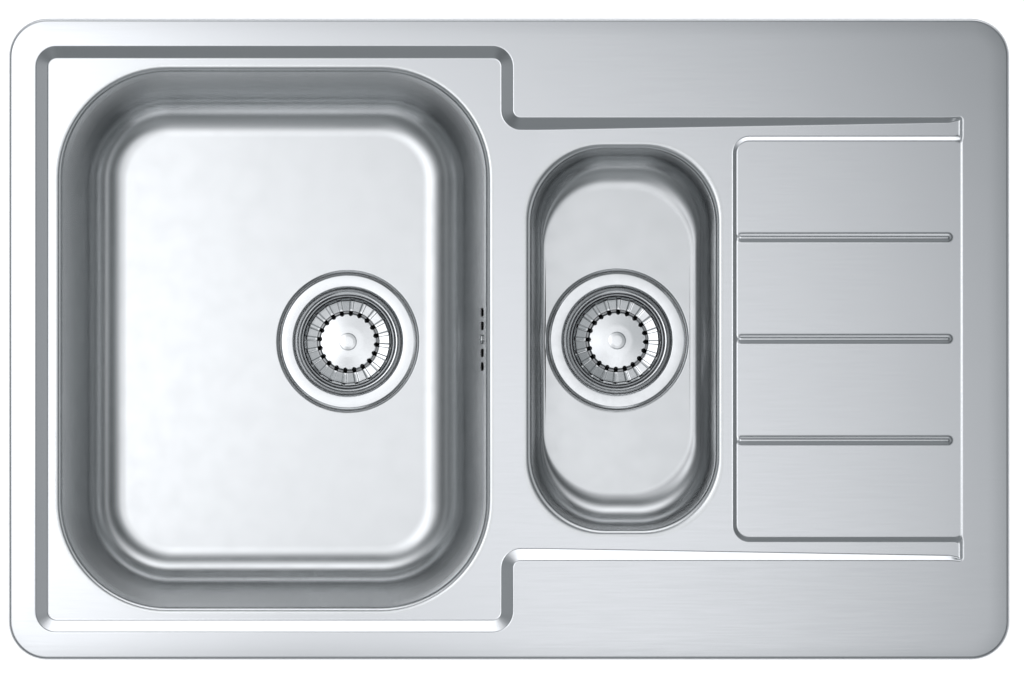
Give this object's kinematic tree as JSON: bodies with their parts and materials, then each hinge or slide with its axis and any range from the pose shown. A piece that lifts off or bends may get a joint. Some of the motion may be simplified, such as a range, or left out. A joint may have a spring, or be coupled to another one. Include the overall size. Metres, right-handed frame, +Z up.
{
  "type": "kitchen sink with drainboard",
  "caption": "Inset stainless steel kitchen sink with a large bowl, a smaller bowl, a ribbed drainer, basket wastes, an overflow with its hose and screw clamps for the worktop.",
  "frame": {"origin": "centre of the worktop cut-out, in the plane of the worktop's top", "axes": "+X from the bowls towards the drainer, +Y to the back edge with the tap ledge, +Z up"},
  "size_m": [0.78, 0.5, 0.2347],
  "materials": {
    "stainless_sheet": "satin brushed stainless steel sheet",
    "polished_stainless": "polished stainless steel",
    "zinc_plated_steel": "zinc plated steel",
    "white_plastic": "moulded white polypropylene",
    "grey_plastic": "moulded grey polypropylene",
    "black_rubber": "black rubber",
    "dark_foam": "closed cell sealing foam"
  },
  "bodies": {
    "sink": {"deck": "stainless_sheet", "main_bowl": "stainless_sheet", "half_bowl": "stainless_sheet", "main_bowl_pad": "dark_foam", "rim_seal": "dark_foam", "main_strainer_cup": "stainless_sheet", "main_flange_gasket": "black_rubber", "main_lower_gasket": "black_rubber", "main_waste_body": "white_plastic", "main_waste_screw": "polished_stainless", "half_strainer_cup": "stainless_sheet", "half_flange_gasket": "black_rubber", "half_lower_gasket": "black_rubber", "half_waste_body": "white_plastic", "half_waste_screw": "polished_stainless", "overflow_gasket": "black_rubber", "overflow_housing": "white_plastic", "overflow_screw": "polished_stainless", "overflow_hose": "grey_plastic", "clamp_1_lug": "stainless_sheet", "clamp_2_lug": "stainless_sheet", "clamp_3_lug": "stainless_sheet", "clamp_4_lug": "stainless_sheet", "clamp_5_lug": "stainless_sheet", "clamp_6_lug": "stainless_sheet"},
    "main_basket_body": {"main_basket": "polished_stainless", "main_basket_knob": "polished_stainless", "main_basket_seal": "black_rubber", "main_seal_holder": "grey_plastic"},
    "half_basket_body": {"half_basket": "polished_stainless", "half_basket_knob": "polished_stainless", "half_basket_seal": "black_rubber", "half_seal_holder": "grey_plastic"},
    "clamp_1_carrier": {"clamp_1_washer": "zinc_plated_steel"},
    "clamp_1_screw_body": {"clamp_1_screw": "zinc_plated_steel"},
    "clamp_1_claw_body": {"clamp_1_claw": "zinc_plated_steel"},
    "clamp_2_carrier": {"clamp_2_washer": "zinc_plated_steel"},
    "clamp_2_screw_body": {"clamp_2_screw": "zinc_plated_steel"},
    "clamp_2_claw_body": {"clamp_2_claw": "zinc_plated_steel"},
    "clamp_3_carrier": {"clamp_3_washer": "zinc_plated_steel"},
    "clamp_3_screw_body": {"clamp_3_screw": "zinc_plated_steel"},
    "clamp_3_claw_body": {"clamp_3_claw": "zinc_plated_steel"},
    "clamp_4_carrier": {"clamp_4_washer": "zinc_plated_steel"},
    "clamp_4_screw_body": {"clamp_4_screw": "zinc_plated_steel"},
    "clamp_4_claw_body": {"clamp_4_claw": "zinc_plated_steel"},
    "clamp_5_carrier": {"clamp_5_washer": "zinc_plated_steel"},
    "clamp_5_screw_body": {"clamp_5_screw": "zinc_plated_steel"},
    "clamp_5_claw_body": {"clamp_5_claw": "zinc_plated_steel"},
    "clamp_6_carrier": {"clamp_6_washer": "zinc_plated_steel"},
    "clamp_6_screw_body": {"clamp_6_screw": "zinc_plated_steel"},
    "clamp_6_claw_body": {"clamp_6_claw": "zinc_plated_steel"}
  },
  "joints": [
    {"name": "main_basket_lift", "type": "slide", "parent": "sink", "child": "main_basket_body", "axis": [0, 0, 1], "range_m": [0, 0.19]},
    {"name": "half_basket_lift", "type": "slide", "parent": "sink", "child": "half_basket_body", "axis": [0, 0, 1], "range_m": [0, 0.12]},
    {"name": "clamp_1_travel", "type": "slide", "parent": "sink", "child": "clamp_1_carrier", "axis": [0, 0, 1], "range_m": [-0.002, 0.01]},
    {"name": "clamp_1_turn", "type": "hinge", "parent": "clamp_1_carrier", "child": "clamp_1_screw_body", "pos_m": [-0.19, 0.221, -0.044], "axis": [0, 0, 1], "range_deg": [-721, 3601]},
    {"name": "clamp_1_swing", "type": "hinge", "parent": "clamp_1_carrier", "child": "clamp_1_claw_body", "pos_m": [-0.19, 0.221, -0.044], "axis": [0, 0, 1], "range_deg": [0, 90]},
    {"name": "clamp_2_travel", "type": "slide", "parent": "sink", "child": "clamp_2_carrier", "axis": [0, 0, 1], "range_m": [-0.002, 0.01]},
    {"name": "clamp_2_turn", "type": "hinge", "parent": "clamp_2_carrier", "child": "clamp_2_screw_body", "pos_m": [0.19, 0.221, -0.044], "axis": [0, 0, 1], "range_deg": [-721, 3601]},
    {"name": "clamp_2_swing", "type": "hinge", "parent": "clamp_2_carrier", "child": "clamp_2_claw_body", "pos_m": [0.19, 0.221, -0.044], "axis": [0, 0, 1], "range_deg": [0, 90]},
    {"name": "clamp_3_travel", "type": "slide", "parent": "sink", "child": "clamp_3_carrier", "axis": [0, 0, 1], "range_m": [-0.002, 0.01]},
    {"name": "clamp_3_turn", "type": "hinge", "parent": "clamp_3_carrier", "child": "clamp_3_screw_body", "pos_m": [0.361, 0, -0.044], "axis": [0, 0, 1], "range_deg": [-721, 3601]},
    {"name": "clamp_3_swing", "type": "hinge", "parent": "clamp_3_carrier", "child": "clamp_3_claw_body", "pos_m": [0.361, 0, -0.044], "axis": [0, 0, 1], "range_deg": [0, 90]},
    {"name": "clamp_4_travel", "type": "slide", "parent": "sink", "child": "clamp_4_carrier", "axis": [0, 0, 1], "range_m": [-0.002, 0.01]},
    {"name": "clamp_4_turn", "type": "hinge", "parent": "clamp_4_carrier", "child": "clamp_4_screw_body", "pos_m": [0.19, -0.221, -0.044], "axis": [0, 0, 1], "range_deg": [-721, 3601]},
    {"name": "clamp_4_swing", "type": "hinge", "parent": "clamp_4_carrier", "child": "clamp_4_claw_body", "pos_m": [0.19, -0.221, -0.044], "axis": [0, 0, 1], "range_deg": [0, 90]},
    {"name": "clamp_5_travel", "type": "slide", "parent": "sink", "child": "clamp_5_carrier", "axis": [0, 0, 1], "range_m": [-0.002, 0.01]},
    {"name": "clamp_5_turn", "type": "hinge", "parent": "clamp_5_carrier", "child": "clamp_5_screw_body", "pos_m": [-0.19, -0.221, -0.044], "axis": [0, 0, 1], "range_deg": [-721, 3601]},
    {"name": "clamp_5_swing", "type": "hinge", "parent": "clamp_5_carrier", "child": "clamp_5_claw_body", "pos_m": [-0.19, -0.221, -0.044], "axis": [0, 0, 1], "range_deg": [0, 90]},
    {"name": "clamp_6_travel", "type": "slide", "parent": "sink", "child": "clamp_6_carrier", "axis": [0, 0, 1], "range_m": [-0.002, 0.01]},
    {"name": "clamp_6_turn", "type": "hinge", "parent": "clamp_6_carrier", "child": "clamp_6_screw_body", "pos_m": [-0.361, 0, -0.044], "axis": [0, 0, 1], "range_deg": [-721, 3601]},
    {"name": "clamp_6_swing", "type": "hinge", "parent": "clamp_6_carrier", "child": "clamp_6_claw_body", "pos_m": [-0.361, 0, -0.044], "axis": [0, 0, 1], "range_deg": [0, 90]}
  ],
  "couplings": [
    {"joint": "clamp_1_turn", "follows": "clamp_1_travel", "rad_per_m": 6283.2},
    {"joint": "clamp_2_turn", "follows": "clamp_2_travel", "rad_per_m": 6283.2},
    {"joint": "clamp_3_turn", "follows": "clamp_3_travel", "rad_per_m": 6283.2},
    {"joint": "clamp_4_turn", "follows": "clamp_4_travel", "rad_per_m": 6283.2},
    {"joint": "clamp_5_turn", "follows": "clamp_5_travel", "rad_per_m": 6283.2},
    {"joint": "clamp_6_turn", "follows": "clamp_6_travel", "rad_per_m": 6283.2}
  ]
}
